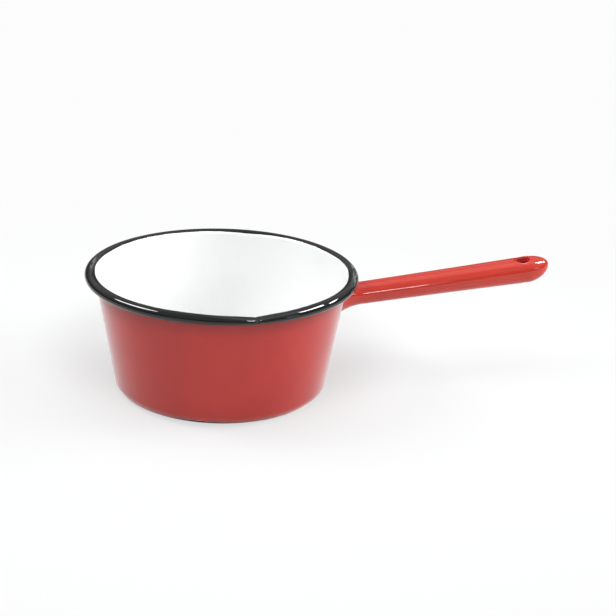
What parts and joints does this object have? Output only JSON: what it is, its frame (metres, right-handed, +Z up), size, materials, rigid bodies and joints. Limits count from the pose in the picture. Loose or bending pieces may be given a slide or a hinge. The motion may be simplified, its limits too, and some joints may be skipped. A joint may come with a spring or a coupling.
{
  "type": "saucepan",
  "caption": "Enamelled steel saucepan with sloping sides, a rolled rim, a small pouring lip and a hollow tubular handle with a hanging hole.",
  "frame": {"origin": "centre of the flat underside, on the surface that the pan stands on", "axes": "+X from the pan's axis along the handle, -Y towards the pouring lip, +Z up along the pan's axis"},
  "size_m": [0.3029, 0.1689, 0.077],
  "materials": {
    "pressed_steel": "pressed sheet, dull, seen only inside the hollow handle, through its hole",
    "white_enamel": "glossy white vitreous enamel",
    "red_enamel": "glossy deep red vitreous enamel",
    "ground_enamel": "dark ground enamel, scuffed where it stands",
    "black_enamel": "glossy black vitreous enamel, brushed on by hand",
    "handle_enamel": "glossy bright red vitreous enamel",
    "weld_metal": "rough weld bead, hidden"
  },
  "bodies": {
    "root": {"steel_pan": "pressed_steel", "inner_coat": "white_enamel", "outer_coat": "red_enamel", "base_coat": "ground_enamel", "rim_coat": "black_enamel", "handle_shell": "pressed_steel", "handle_coat": "handle_enamel", "root_weld": "weld_metal", "handle_seam": "weld_metal"}
  },
  "joints": []
}
